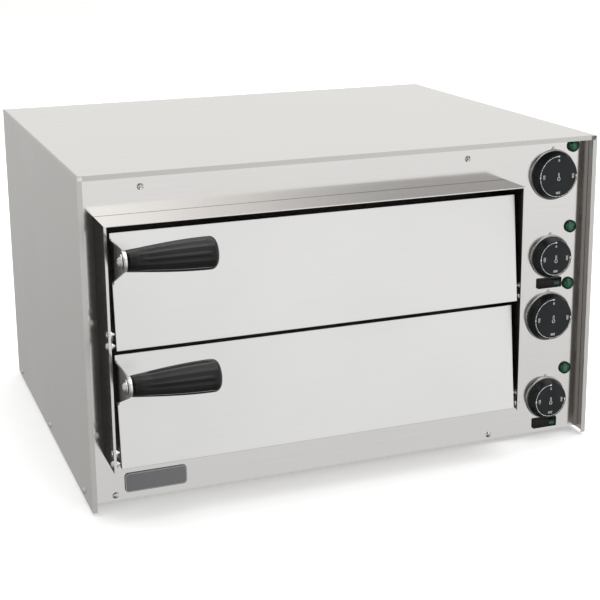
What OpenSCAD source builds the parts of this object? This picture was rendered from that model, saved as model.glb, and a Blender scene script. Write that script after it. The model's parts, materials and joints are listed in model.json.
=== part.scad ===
// Countertop pizza oven with two decks: a folded stainless casing round two heated chambers,
// each behind a drop-down door that leans back in a shared hood, with the controls on the right.
//
// Row frame: x runs to the right, y runs to the back, z up from the surface the feet stand on.
// Oven frame, used by every module: x from the casing's middle, y back from the casing's front
// edge, z up from the casing's bottom edge. in_oven() carries it into the row frame.

/* [Casing] */
// Width of the casing over its side walls
casing_w = 550; // [548:1:600]
// Depth of the casing from its front edge to its back edge
casing_d = 440; // [436:1:500]
// Height of the casing from the bottom of its side walls
casing_h = 332; // [332:1:360]
// Thickness of the folded stainless sheet
sheet = 1; // [0.8:0.1:1]
// Depth of the front panel behind the casing's front edge
recess = 14; // [12:1:16]
// Width of the edge folded in along the side walls' front edges
hem = 4; // [3:0.5:5]
// Gap that the rubber feet leave under the side walls
foot_gap = 3; // [2:0.5:6]

/* [Decks] */
// Middle of the two decks, left of the casing's middle
deck_shift = 41.5; // [40:0.5:43]
// Height of the lower hinge line over the casing's bottom edge
lower_hinge_z = 57.9; // [57:0.1:59]
// Distance between the two hinge lines
deck_pitch = 117.2; // [117:0.1:118]
// Clear width inside a chamber
chamber_w = 370; // [350:1:380]
// Clear depth inside a chamber
chamber_d = 372; // [350:1:375]
// Clear height inside a chamber's liner
chamber_h = 104; // [102:1:105]
// Thickness of the baking stone
stone_t = 12; // [10:1:14]

/* [Doors] */
// Width of a door
door_w = 419; // [415:1:419]
// Height of a door along its leaning face
door_h = 110.6; // [107:0.1:111]
// Angle that a shut door leans back by
lean = 5.8; // [4:0.1:6]
// How far the hood round the doors stands out of the front panel
hood_d = 42; // [42:1:45]
// Distance from a door's face to the middle of its handle
handle_reach = 44; // [40:1:46]
// Length of the moulded handle
handle_l = 84; // [70:1:95]

/* [Controls] */
// Middle of the control column, right of the casing's middle
control_x = 231; // [229:0.5:232]
// Heights of the four thermostat knobs, lowest first
knob_z = [42.2, 135, 201.7, 290.5];

/* [Hidden] */
$fn = 48;

steel = [0.80, 0.79, 0.78];
dark_steel = [0.45, 0.44, 0.43];
bakelite = [0.05, 0.05, 0.06];

half_w = casing_w / 2;
inner_w = half_w - sheet;
fit = 0.05;
panel_y = recess;
panel_back = panel_y + sheet;
panel_bottom = 3;
back_y = casing_d - sheet;

// Decks. DECKS holds the height of each hinge line, lowest first.
DECKS = [lower_hinge_z, lower_hinge_z + deck_pitch];
deck_x = -deck_shift;
liner_y = panel_back;
floor_drop = 7;
stone_rise = 30;
stone_margin = 2;
mouth_w = chamber_w - 4;
mouth_bottom = stone_rise - 2 - floor_drop;
mouth_top = chamber_h - floor_drop;

// Heating elements and thermostat bulbs
element_r = 3.5;
element_runs = 6;
element_pitch = 52;
element_half = element_pitch * (element_runs - 1) / 2;
element_floor = 13;
element_roof = chamber_h - 10;
bulb_r = 2.2;
BULBS = [[chamber_w / 2 - 22, 6], [chamber_w / 2 - 5, chamber_h - 16]];

// Hinges. The hinge line is the origin of every door part.
hood_w = 433;
hood_front = panel_y - hood_d;
hood_top = 290;
hood_bottom = 50;
hood_hem = 2.5;
hood_flange = 16;
rivet_drop = 11;
hinge_y = -23.3;
face_dist = 5.2;
door_bottom = -4.1;
door_top = door_bottom + door_h * cos(lean);
door_back = panel_y - 4.5 - hinge_y;
end_t = 1.5;
pin_r = 2;
hinge_play = 0.06;
nut_r = 4.04;
nut_t = 2.4;
washer_r = 3.6;
washer_t = 0.9;
stud_r = 2;
stud_y = 0.6;
stud_z = 11;
slot_play = 0.2;

// Handles, in the same frame
ear_top = door_top - 6;
ear_base = 41;
ear_r = 10.5;
handle_up = 90.5;
handle_y = face_y(handle_up) - handle_reach / cos(lean);
handle_r = 15.5;
handle_neck_r = 9.8;
ferrule_t = 2;
handle_bore_r = 2.6;

// Controls
knob_bezel_r = [23.4, 27, 23.4, 27];
knob_face_r = [19.7, 23.3, 19.7, 23.3];
knob_l = [11, 10.5, 11, 10.5];
bezel_t = 1.6;
spindle_r = 3;
lamp_dx = 23.5;
lamp_dz = [30.9, 34.5, 30.9, 29.5];
lamp_r = 6.8;
lamp_out = [2.4, 3.6, 2.4, 3.6];
switch_drop = 29.3;
SWITCHES = [knob_z[0] - switch_drop, knob_z[2] - switch_drop];
switch_w = 29;
switch_h = 11;
rocker_w = 24;
rocker_h = 7;
rocker_tilt = 8;
rocker_pivot = 3.5;
trunnion_r = 1;

// Cable inlet on the back
gland_x = 222;
gland_z = 46;
gland_out = 18;
cable_r = 4.2;
louvre_out = 4;

// Reach of the whole object in front of and behind the casing's front edge
reach_front = -hinge_y - handle_y + handle_r;
reach_back = casing_d + gland_out;
front_y = (reach_front - reach_back) / 2;

// Fasteners
screw_r = 1.95;
screw_head_r = 3.3;
screw_head_h = 1.9;
FRONT_SCREWS = [[-212.5, 315], [130.5, 315], [-249, 8.5], [162.5, 8.5]];
SIDE_SCREW_Y = [38, 222, 410];
side_screw_z = 8;
BACK_SCREWS = [for (x = [-1, 0, 1]) for (z = [10, 324]) [x * 255, z]];
RIVET_X = [-165, -73, 8, 98];

// y of a door's face, from the hinge line, at height z over it
function face_y(z) = z * tan(lean) - face_dist / cos(lean);

// Point where the tangent from p touches the circle of radius r round c
function tangent(c, r, p, side) =
    let (d = p - c, a = atan2(d[1], d[0]), b = side * acos(r / norm(d)))
    c + r * [cos(a + b), sin(a + b)];

module in_oven()
    translate([0, front_y, foot_gap]) children();

// Box between a low and a high bound on each axis
module block(x, y, z)
    translate([x[0], y[0], z[0]]) cube([x[1] - x[0], y[1] - y[0], z[1] - z[0]]);

// Sweeps a (y, z) outline along x, or stands a shape drawn along z on another axis
module along_x(w)
    rotate([90, 0, 90]) linear_extrude(w, center = true) children();

module to_right()
    rotate([0, 90, 0]) children();

module to_left()
    rotate([0, -90, 0]) children();

module to_front()
    rotate([90, 0, 0]) children();

module to_back()
    rotate([-90, 0, 0]) children();

module tube(r_out, r_in, h)
    difference() {
        cylinder(r = r_out, h = h);
        translate([0, 0, -1]) cylinder(r = r_in, h = h + 2);
    }

// Upright sheet outline with its two top corners bent at radius r
module bent_outline(w, h, r) {
    translate([-w / 2, 0]) square([w, h - r]);
    translate([r - w / 2, 0]) square([w - 2 * r, h]);
    for (side = [-1, 1])
        translate([side * (w / 2 - r), h - r]) circle(r);
}

module rounded_plate(w, h, r, t)
    linear_extrude(t) {
        square([w - 2 * r, h], center = true);
        square([w, h - 2 * r], center = true);
        for (sx = [-1, 1])
            for (sz = [-1, 1])
                translate([sx * (w / 2 - r), sz * (h / 2 - r)]) circle(r);
    }

// Dome-headed screw, its head's seat at the origin and its shank down -z
module dome_screw(head_r, head_h, r, length) {
    dome_r = (head_r * head_r + head_h * head_h) / (2 * head_h);
    difference() {
        intersection() {
            translate([0, 0, head_h - dome_r]) sphere(dome_r);
            cylinder(r = head_r, h = head_h);
        }
        for (turn = [0, 90])
            rotate([0, 0, turn + 45]) translate([-head_r * 0.55, -head_r * 0.11, head_h * 0.5])
                cube([head_r * 1.1, head_r * 0.22, head_h]);
    }
    translate([0, 0, -length]) cylinder(r = r, h = length);
}

module at_front_screws()
    for (p = FRONT_SCREWS)
        translate([p[0], panel_y, p[1]]) to_front() children();

module at_side_screws()
    for (side = [-1, 1])
        for (y = SIDE_SCREW_Y)
            translate([side * half_w, y, side_screw_z]) rotate([0, side * 90, 0]) children();

module at_back_screws()
    for (p = BACK_SCREWS)
        translate([p[0], casing_d, p[1]]) to_back() children();

// ---- Housing ----

module casing() {
    bend = 2.5;
    flange = 14;
    lip = 5;
    notch = 5;
    vent_l = 60;
    color(steel) in_oven() difference() {
        union() {
            difference() {
                translate([0, back_y, 0]) to_front() linear_extrude(back_y)
                    bent_outline(casing_w, casing_h, bend);
                translate([0, casing_d, -1]) to_front() linear_extrude(casing_d + 1)
                    bent_outline(casing_w - 2 * sheet, casing_h - sheet + 1, bend - sheet);
            }
            for (side = [-1, 1]) {
                mid = side * (inner_w - hem / 2 + fit);
                block([mid - hem / 2, mid + hem / 2], [0, sheet], [0, casing_h - bend]);
                back_mid = side * (inner_w - flange / 2 + fit);
                block([back_mid - flange / 2, back_mid + flange / 2], [back_y - sheet, back_y],
                      [panel_bottom, casing_h - bend]);
            }
            block([-inner_w + hem + 1, inner_w - hem - 1], [0, sheet],
                  [casing_h - lip, casing_h - sheet / 2]);
            block([-inner_w + flange, inner_w - flange], [back_y - sheet, back_y],
                  [casing_h - flange, casing_h - sheet / 2]);
        }
        for (side = [-1, 1])
            block([side * (inner_w - hem / 2 - 1) - hem / 2 - 1, side * (inner_w - hem / 2 - 1) + hem / 2],
                  [-1, sheet + 0.01], [casing_h - notch, casing_h - sheet]);
        at_side_screws() translate([0, 0, -flange]) cylinder(r = screw_r + fit, h = 2 * flange);
        at_back_screws() translate([0, 0, -flange]) cylinder(r = screw_r + fit, h = 2 * flange);
        for (row = [0:6])
            for (y = [60, 60 + vent_l + 20])
                block([inner_w - 1, half_w + 1], [y, y + vent_l], [70 + row * 14, 74 + row * 14]);
    }
}

module front_panel()
    color(steel) in_oven() difference() {
        union() {
            block([-inner_w + 0.3, inner_w - 0.3], [panel_y, panel_back],
                  [panel_bottom, casing_h - sheet - 0.8]);
            for (side = [-1, 1])
                block([side * (inner_w - 0.8) - 0.5, side * (inner_w - 0.8) + 0.5],
                      [panel_back - fit, panel_back + 11], [20, casing_h - 8]);
        }
        for (z = DECKS)
            block([deck_x - mouth_w / 2, deck_x + mouth_w / 2], [0, panel_back + 1],
                  [z + mouth_bottom, z + mouth_top]);
        at_front_screws() translate([0, 0, -5]) cylinder(r = screw_r + fit, h = 10);
        for (i = [0:3]) {
            translate([control_x, panel_back + 1, knob_z[i]]) to_front() cylinder(r = 5, h = 4);
            translate([control_x + lamp_dx, panel_back + 1, knob_z[i] + lamp_dz[i]]) to_front()
                cylinder(r = lamp_r - 1.2, h = 4);
        }
        for (z = SWITCHES)
            block([control_x - switch_w / 2 + 0.8, control_x + switch_w / 2 - 0.8],
                  [0, panel_back + 1], [z - switch_h / 2 + 0.8, z + switch_h / 2 - 0.8]);
        for (x = RIVET_X)
            translate([x, panel_back + 1, hood_top - rivet_drop]) to_front() cylinder(r = 1.6 + fit, h = 4);
    }

// One pressed louvre: half of a thin tube, standing out of the back panel
module louvre(l)
    difference() {
        to_right() translate([0, 0, -l / 2]) tube(louvre_out, louvre_out - 0.8, l);
        translate([0, -louvre_out, 0]) cube([l + 2, 2 * louvre_out, 4 * louvre_out], center = true);
        translate([0, 0, -louvre_out]) cube([l + 2, 4 * louvre_out, 2 * louvre_out], center = true);
    }

module back_panel() {
    louvre_l = 110;
    color(steel) in_oven() difference() {
        union() {
            difference() {
                block([-half_w + 0.2, half_w - 0.2], [back_y, casing_d], [panel_bottom, casing_h - 0.2]);
                for (x = [-150, 0, 150])
                    for (row = [0:5])
                        block([x - louvre_l / 2 + 1, x + louvre_l / 2 - 1], [back_y - 1, casing_d + 1],
                              [218 + row * 16, 218 + row * 16 + louvre_out - 1]);
            }
            for (x = [-150, 0, 150])
                for (row = [0:5])
                    translate([x, casing_d - fit, 218 + row * 16]) louvre(louvre_l);
        }
        at_back_screws() translate([0, 0, -5]) cylinder(r = screw_r + fit, h = 10);
        translate([gland_x, back_y - 1, gland_z]) to_back() cylinder(r = 8 + fit, h = 4);
    }
}

module base_pan() {
    rim = 15;
    x = inner_w - 0.3;
    y = [panel_back + fit, back_y - sheet - 0.2];
    color(steel) in_oven() difference() {
        block([-x, x], y, [panel_bottom, panel_bottom + rim]);
        block([-x + sheet, x - sheet], [y[0] + sheet, y[1] - sheet], [panel_bottom + sheet, casing_h]);
        at_side_screws() translate([0, 0, -6]) cylinder(r = screw_r + fit, h = 8);
        at_front_screws() translate([0, 0, -5]) cylinder(r = screw_r + fit, h = 10);
        at_back_screws() translate([0, 0, -6]) cylinder(r = screw_r + fit, h = 10);
        at_feet() translate([0, 0, -1]) cylinder(r = 2.6, h = 8);
        block([control_x - switch_w / 2 - 1, control_x + switch_w / 2 + 1], [0, y[0] + 5],
              [panel_bottom + sheet + 0.5, casing_h]);
        for (x = [-180, -100, -20, 60])
            for (y = [120, 300])
                block([x, x + 50], [y, y + 6], [0, 10]);
    }
}

module at_feet()
    for (side = [-1, 1])
        for (y = [45, casing_d - 45])
            translate([side * (half_w - 40), y, panel_bottom]) children();

// Rubber foot pushed up through the base pan, held by its own button
module feet()
    color([0.08, 0.08, 0.08]) in_oven() at_feet() {
        translate([0, 0, -panel_bottom - foot_gap])
            rotate_extrude() polygon([[0, 0], [8.5, 0], [10, 1.2], [10, 6 - fit], [0, 6 - fit]]);
        translate([0, 0, -0.5]) cylinder(r = 2.5, h = 2.5);
        translate([0, 0, sheet + fit]) cylinder(r1 = 4, r2 = 2.5, h = 3);
    }

// Angle under the casing's top that the front panel's upper screws go into
module top_rail()
    color(dark_steel) in_oven() difference() {
        union() {
            block([-250, 250], [panel_back + fit, panel_back + sheet], [300, 330]);
            block([-250, 250], [panel_back + fit, panel_back + 18], [330 - sheet, 330]);
        }
        at_front_screws() translate([0, 0, -5]) cylinder(r = screw_r + fit, h = 10);
        block([control_x + lamp_dx - 10, 260], [panel_back - 1, panel_back + 3], [290, 328]);
    }

module partition()
    color(dark_steel) in_oven() difference() {
        block([182, 183], [panel_back + 20, back_y - 20], [panel_bottom + sheet + fit, 327]);
        for (z = DECKS)
            translate([180, casing_d - 45, z + 45]) to_right() cylinder(r = 9, h = 6);
    }

module hood() {
    x = hood_w / 2;
    color(steel) in_oven() translate([deck_x, 0, 0]) difference() {
        union() {
            block([-x, x], [hood_front, panel_y - fit], [hood_top - sheet, hood_top]);
            for (side = [-1, 1]) {
                wall = side * (x - sheet / 2);
                block([wall - sheet / 2, wall + sheet / 2], [hood_front, panel_y - fit],
                      [hood_bottom, hood_top]);
                edge = side * (x - hood_hem / 2);
                block([edge - hood_hem / 2, edge + hood_hem / 2], [hood_front, hood_front + sheet],
                      [hood_bottom, hood_top]);
                foot = side * (x - 4);
                block([foot - 4, foot + 4], [panel_y - sheet, panel_y - fit], [hood_bottom, hood_top]);
            }
            block([-x, x], [panel_y - sheet, panel_y - fit], [hood_top - hood_flange, hood_top]);
        }
        for (z = DECKS)
            for (side = [-1, 1])
                translate([side * x, hinge_y, z]) {
                    to_right() translate([0, 0, -3]) cylinder(r = pin_r + fit, h = 6);
                    translate([0, stud_y, stud_z]) to_right() translate([0, 0, -3])
                        cylinder(r = stud_r + fit, h = 6);
                }
        for (rx = RIVET_X)
            translate([rx - deck_x, panel_y + 1, hood_top - rivet_drop])
                to_front() cylinder(r = 1.6 + fit, h = 4);
    }
}

module hood_rivets()
    color(dark_steel) in_oven() for (x = RIVET_X)
        translate([x, panel_y - sheet, hood_top - rivet_drop]) to_front()
            dome_screw(2.6, 1.1, 1.6, 4);

// Dome-headed screws of the front panel, the side walls and the back
module housing_screws()
    color(steel) in_oven() {
        at_front_screws() dome_screw(screw_head_r, screw_head_h, screw_r, 7);
        at_side_screws() dome_screw(screw_head_r, screw_head_h, screw_r, 7);
        at_back_screws() dome_screw(screw_head_r, screw_head_h, screw_r, 7);
    }

module badge_plate()
    color([0.55, 0.55, 0.56]) in_oven()
        translate([-208, panel_y, 20]) to_front() rounded_plate(63, 20, 4, 1.2);

// ---- Chambers ----

// Positions where the tube ends of the elements leave a chamber's back wall
module at_element_ends()
    for (side = [-1, 1])
        for (rise = [element_floor, element_roof])
            translate([deck_x + side * element_half, liner_y + chamber_d, rise - floor_drop])
                to_back() children();

module at_bulbs()
    for (p = BULBS)
        translate([deck_x + p[0], liner_y + chamber_d, p[1] - floor_drop]) to_back() children();

module liner(hinge_z) {
    floor_z = hinge_z - floor_drop;
    brim = 5;
    x = [deck_x - chamber_w / 2, deck_x + chamber_w / 2];
    y = [liner_y + fit, liner_y + chamber_d];
    z = [floor_z, floor_z + chamber_h];
    color([0.62, 0.61, 0.58]) in_oven() difference() {
        union() {
            block(x + [-sheet, sheet], y + [0, sheet], z + [-sheet, sheet]);
            block(x + [-brim, brim], [y[0], y[0] + sheet], z + [-brim, brim]);
        }
        block(x, [0, y[1]], z);
        translate([0, 0, hinge_z]) at_element_ends() translate([0, 0, -2])
            cylinder(r = element_r + fit, h = 6);
        translate([0, 0, hinge_z]) at_bulbs() translate([0, 0, -2]) cylinder(r = bulb_r + fit, h = 6);
    }
}

module lower_liner()
    liner(DECKS[0]);

module upper_liner()
    liner(DECKS[1]);

// Blanket round both chambers, cut as slabs
module insulation() {
    gap = 1.5;
    x_out = [-inner_w + 3, 181];
    x_in = [deck_x - chamber_w / 2 - sheet - gap, deck_x + chamber_w / 2 + sheet + gap];
    y = [panel_back + 19, liner_y + chamber_d + sheet];
    back = [y[1] + gap, y[1] + 26];
    lowest = DECKS[0] - floor_drop - sheet - gap - 5;
    highest = DECKS[1] - floor_drop + chamber_h + sheet + gap + 5;
    between = DECKS[1] - floor_drop - sheet;
    color([0.86, 0.84, 0.76]) in_oven() {
        block(x_out, y, [panel_bottom + 9, lowest]);
        block(x_out, y, [highest, casing_h - sheet - 3]);
        block(x_in, y, [between - deck_pitch + chamber_h + 2 * sheet + gap, between - gap]);
        block([x_out[0], x_in[0] - gap], y, [lowest + gap, highest - gap]);
        block([x_in[1] + gap, x_out[1]], y, [lowest + gap, highest - gap]);
        difference() {
            block([x_in[0], x_in[1]], back, [lowest + gap, highest - gap]);
            for (z = DECKS)
                translate([0, 0, z]) {
                    at_element_ends() cylinder(r = element_r + 3, h = 60);
                    at_bulbs() cylinder(r = bulb_r + 3, h = 60);
                }
        }
    }
}

module stone(hinge_z) {
    top = hinge_z - floor_drop + stone_rise;
    x = chamber_w / 2 - stone_margin;
    color([0.80, 0.74, 0.62]) in_oven()
        block([deck_x - x, deck_x + x], [liner_y + 4, liner_y + chamber_d - 4], [top - stone_t, top]);
}

module lower_stone()
    stone(DECKS[0]);

module upper_stone()
    stone(DECKS[1]);

module stone_rails() {
    leg = 12;
    t = 1.2;
    color(dark_steel) in_oven() for (hinge_z = DECKS)
        for (side = [-1, 1]) {
            top = hinge_z - floor_drop + stone_rise - stone_t - fit;
            wall = chamber_w / 2 - fit;
            y = [liner_y + 10, liner_y + chamber_d - 10];
            translate([deck_x, 0, 0]) mirror([side < 0 ? 1 : 0, 0, 0]) {
                block([wall - leg, wall], y, [top - t, top]);
                block([wall - t, wall], y, [top - leg, top]);
            }
        }
}

// Tube element bent to and fro in a level plane, both ends leaving at the back
module element(hinge_z, rise) {
    run = [liner_y + 50, liner_y + chamber_d - 50];
    bend_r = element_pitch / 2;
    last = element_runs - 1;
    tail_y = liner_y + chamber_d + 18;
    color([0.35, 0.33, 0.31]) in_oven()
        translate([deck_x - element_half, 0, hinge_z - floor_drop + rise]) {
            for (i = [0:last])
                translate([i * element_pitch, run[0], 0]) to_back()
                    cylinder(r = element_r, h = (i == 0 || i == last ? tail_y : run[1]) - run[0]);
            for (i = [0:2:last - 1])
                translate([i * element_pitch + bend_r, run[0], 0]) rotate([0, 0, 180])
                    half_ring(bend_r, element_r);
            for (i = [1:2:last - 1])
                translate([i * element_pitch + bend_r, run[1], 0]) half_ring(bend_r, element_r);
        }
}

module half_ring(r, tube_r)
    rotate_extrude(angle = 180) translate([r, 0]) circle(tube_r);

module lower_floor_element()
    element(DECKS[0], element_floor);

module lower_roof_element()
    element(DECKS[0], element_roof);

module upper_floor_element()
    element(DECKS[1], element_floor);

module upper_roof_element()
    element(DECKS[1], element_roof);

// Thermostat bulbs through the chambers' back walls
module sensor_bulbs()
    color([0.72, 0.55, 0.40]) in_oven() for (z = DECKS)
        translate([0, 0, z]) at_bulbs() translate([0, 0, -80]) cylinder(r = bulb_r, h = 98);

// ---- Hinges ----

module at_hinges()
    for (z = DECKS)
        for (side = [0, 1])
            translate([deck_x, hinge_y, z]) mirror([side, 0, 0])
                translate([-hood_w / 2, 0, 0]) children();

module hinge_screws()
    color(steel) in_oven() at_hinges() {
        to_left() dome_screw(3.8, 2.4, pin_r, 1);
        to_right() cylinder(r = pin_r, h = 10.5);
    }

module hinge_nuts()
    color(steel) in_oven() at_hinges() translate([sheet, 0, 0]) to_right() difference() {
        cylinder(r = nut_r, h = nut_t, $fn = 6);
        translate([0, 0, -1]) cylinder(r = pin_r + fit, h = nut_t + 2);
    }

module hinge_washers()
    color(steel) in_oven() at_hinges() translate([sheet + nut_t, 0, 0]) to_right()
        tube(washer_r, pin_r + fit, washer_t);

// Stop stud above each hinge: its pin rides in the slot of the door's end plate
module stop_studs()
    color(steel) in_oven() at_hinges() translate([0, stud_y, stud_z]) to_right() {
        translate([0, 0, -1.2]) cylinder(r = 3.4, h = 1.2);
        cylinder(r = stud_r, h = 10);
        translate([0, 0, sheet]) cylinder(r = 4, h = 3);
    }

// ---- Doors, drawn from the hinge line ----

module in_door(hinge_z)
    in_oven() translate([deck_x, hinge_y, hinge_z]) children();

// Quarter-round slot about the hinge line, in (y, z)
module stop_slot() {
    reach = norm([stud_y, stud_z]);
    start = atan2(stud_z, stud_y);
    half = stud_r + slot_play;
    difference() {
        circle(reach + half);
        circle(reach - half);
        rotate(start) translate([-3 * reach, 0]) square([6 * reach, 3 * reach]);
        rotate(start - 90) translate([-3 * reach, -3 * reach]) square([6 * reach, 3 * reach]);
    }
    for (turn = [start, start - 90])
        rotate(turn) translate([reach, 0]) circle(half);
}

module end_outline() {
    front = sheet / cos(lean) + fit;
    low = door_bottom + sheet + fit;
    high = door_top - sheet - fit;
    difference() {
        polygon([[face_y(low) + front, low], [door_back, low],
                 [door_back, high], [face_y(high) + front, high]]);
        circle(pin_r + hinge_play);
        stop_slot();
    }
}

module ear_outline() {
    tip = [handle_y, handle_up];
    upper = [face_y(ear_top) + 3, ear_top];
    lower = [face_y(ear_top - ear_base) + 3, ear_top - ear_base];
    difference() {
        union() {
            polygon([upper, tangent(tip, ear_r, upper, 1), tip, tangent(tip, ear_r, lower, -1), lower]);
            translate(tip) circle(ear_r);
        }
        translate(tip) circle(handle_bore_r);
    }
}

module end_plate(hinge_z, side)
    in_door(hinge_z) translate([side * (door_w - end_t) / 2, 0, 0]) along_x(end_t) end_outline();

module left_end(hinge_z)
    color(dark_steel) in_door(hinge_z) translate([-(door_w - end_t) / 2, 0, 0]) along_x(end_t) {
        end_outline();
        ear_outline();
    }

// Face sheet, folded back along its top and bottom edges, with a slot for the ear
module door_face(hinge_z) {
    t = sheet / cos(lean);
    fold = 20;
    low_fold = 7;
    color(steel) in_door(hinge_z) difference() {
        along_x(door_w) polygon([
            [face_y(door_bottom), door_bottom], [face_y(door_bottom) + low_fold, door_bottom],
            [face_y(door_bottom) + low_fold, door_bottom + sheet],
            [face_y(door_bottom + sheet) + t, door_bottom + sheet],
            [face_y(door_top - sheet) + t, door_top - sheet],
            [face_y(door_top) + fold, door_top - sheet], [face_y(door_top) + fold, door_top],
            [face_y(door_top), door_top]]);
        translate([-(door_w - end_t) / 2 - 1, 0, 0]) along_x(end_t + 2 + 2 * fit)
            polygon([[-30, ear_top - ear_base - 0.3], [30, ear_top - ear_base - 0.3],
                     [30, ear_top + 0.3], [-30, ear_top + 0.3]]);
    }
}

// Tray that closes the back of the door, its rim folded forward
module door_liner(hinge_z) {
    x = door_w / 2 - end_t - 6;
    low = door_bottom + 10;
    high = door_top - sheet - 3;
    tray = 14;
    color([0.62, 0.61, 0.58]) in_door(hinge_z) difference() {
        union() {
            block([-x, x], [door_back - tray, door_back + 2], [low, high]);
            block([-x - 5.8, x + 5.8], [door_back - 10, door_back - 10 + sheet], [low + 20, high - 10]);
        }
        block([-x + sheet, x - sheet], [door_back - tray - 1, door_back + 2 - sheet],
              [low + sheet, high - sheet]);
    }
}

module door_insulation(hinge_z) {
    x = door_w / 2 - end_t - 8;
    low = door_bottom + 12;
    high = door_top - 6;
    t = sheet / cos(lean) + 0.6;
    color([0.86, 0.84, 0.76]) in_door(hinge_z) along_x(2 * x)
        polygon([[face_y(low) + t, low], [door_back + 0.5, low],
                 [door_back + 0.5, high], [face_y(high) + t, high]]);
}

module at_handle(hinge_z)
    in_door(hinge_z) translate([-door_w / 2, handle_y, handle_up]) children();

module handle_ferrule(hinge_z)
    color(steel) at_handle(hinge_z) translate([end_t, 0, 0]) to_right()
        tube(handle_neck_r, handle_bore_r, ferrule_t);

// Moulded handle: swells from a round neck to a blunt free end
module handle(hinge_z) {
    end_round = 8;
    color(bakelite) at_handle(hinge_z) translate([end_t + ferrule_t, 0, 0]) to_right() difference() {
        rotate_extrude() difference() {
            union() {
                polygon([[0, 0], [handle_neck_r - 0.8, 0], [handle_neck_r, 1], [handle_neck_r + 2, 20],
                         [handle_r - 2, 45], [handle_r, handle_l - end_round], [handle_r - end_round, handle_l],
                         [0, handle_l]]);
                translate([handle_r - end_round, handle_l - end_round]) circle(end_round);
            }
            translate([-20, -10]) square([20, handle_l + 20]);
        }
        translate([0, 0, -1]) cylinder(r = handle_bore_r, h = 32);
    }
}

module handle_screw(hinge_z)
    color(steel) at_handle(hinge_z) to_left() {
        tube(7.4, handle_bore_r - 0.1, 1.2);
        translate([0, 0, 1.2]) dome_screw(5, 3, handle_bore_r - 0.1, 28);
    }

module lower_door_face()
    door_face(DECKS[0]);

module upper_door_face()
    door_face(DECKS[1]);

module lower_door_left_end()
    left_end(DECKS[0]);

module upper_door_left_end()
    left_end(DECKS[1]);

module lower_door_right_end()
    color(dark_steel) end_plate(DECKS[0], 1);

module upper_door_right_end()
    color(dark_steel) end_plate(DECKS[1], 1);

module lower_door_liner()
    door_liner(DECKS[0]);

module upper_door_liner()
    door_liner(DECKS[1]);

module lower_door_insulation()
    door_insulation(DECKS[0]);

module upper_door_insulation()
    door_insulation(DECKS[1]);

module lower_handle()
    handle(DECKS[0]);

module upper_handle()
    handle(DECKS[1]);

module lower_handle_screw()
    handle_screw(DECKS[0]);

module upper_handle_screw()
    handle_screw(DECKS[1]);

module lower_handle_ferrule()
    handle_ferrule(DECKS[0]);

module upper_handle_ferrule()
    handle_ferrule(DECKS[1]);

// ---- Controls ----

module at_knob(i)
    in_oven() translate([control_x, panel_y, knob_z[i]]) to_front() children();

module knob_bezels()
    color(steel) for (i = [0:3])
        at_knob(i) {
            tube(knob_bezel_r[i], knob_bezel_r[i] - 3.5, bezel_t);
            linear_extrude(bezel_t) translate([0, knob_bezel_r[i]])
                polygon([[-3.2, -1.5], [3.2, -1.5], [0, 3]]);
        }

module knob(i) {
    r = knob_face_r[i];
    skirt = knob_bezel_r[i] - 1.2;
    l = knob_l[i];
    color(bakelite) at_knob(i) translate([0, 0, bezel_t + 0.4]) difference() {
        rotate_extrude() union() {
            polygon([[0, 0], [skirt, 0], [skirt, 2], [r, l - 1.4], [r - 1.4, l], [0, l]]);
            translate([r - 1.45, l - 1.45]) circle(1.45);
        }
        translate([0, 0, -1]) cylinder(r = r - 3, h = 4);
        translate([0, 0, -1]) cylinder(r = spindle_r + fit, h = l - 3);
    }
}

module spindle(i)
    color(steel) at_knob(i) translate([0, 0, -14]) cylinder(r = spindle_r, h = 14 + knob_l[i] - 5);

module knob_1()
    knob(3);

module knob_2()
    knob(2);

module knob_3()
    knob(1);

module knob_4()
    knob(0);

module spindle_1()
    spindle(3);

module spindle_2()
    spindle(2);

module spindle_3()
    spindle(1);

module spindle_4()
    spindle(0);

// Thermostat: a cased switch behind the panel with a threaded nose round its spindle
module thermostats()
    color([0.85, 0.83, 0.78]) for (i = [0:3])
        at_knob(i) difference() {
            union() {
                translate([0, 0, -3 - sheet]) cylinder(r = 4.9, h = 3 + sheet - 0.2);
                translate([-19, -16, -34]) cube([38, 32, 30]);
            }
            translate([0, 0, -22]) cylinder(r = spindle_r + 0.08, h = 26);
        }

module at_lamp(i)
    at_knob(i) translate([lamp_dx, lamp_dz[i], 0]) children();

// Domed lens over a dark rim
module lamp_lenses()
    color([0.0, 0.35, 0.16]) for (i = [0:3])
        at_lamp(i) {
            r = lamp_r - 0.9;
            out = lamp_out[i];
            dome_r = (r * r + out * out) / (2 * out);
            translate([0, 0, 1]) intersection() {
                translate([0, 0, out - dome_r]) sphere(dome_r);
                cylinder(r = r, h = out);
            }
        }

module lamp_bodies()
    color([0.1, 0.1, 0.1]) for (i = [0:3])
        at_lamp(i) {
            tube(lamp_r, lamp_r - 0.8, 1.6);
            cylinder(r = lamp_r, h = 0.9);
            translate([0, 0, -20]) cylinder(r = lamp_r - 1.4, h = 20.1);
        }

module at_switch(z)
    in_oven() translate([control_x, panel_y, z]) children();

module switch_housings()
    color([0.06, 0.06, 0.06]) for (z = SWITCHES)
        at_switch(z) difference() {
            union() {
                to_front() rounded_plate(switch_w, switch_h, 1.2, 2);
                block([-switch_w / 2 + 1, switch_w / 2 - 1], [-0.1, 20],
                      [-switch_h / 2 + 1, switch_h / 2 - 1]);
            }
            block([-rocker_w / 2 - 1.1, rocker_w / 2 + 1.1], [-4, 12],
                  [-rocker_h / 2 - 0.3, rocker_h / 2 + 0.3]);
            translate([0, rocker_pivot, -switch_h / 2 + 1.1])
                cylinder(r = trunnion_r + fit, h = switch_h - 2.2);
        }

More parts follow.
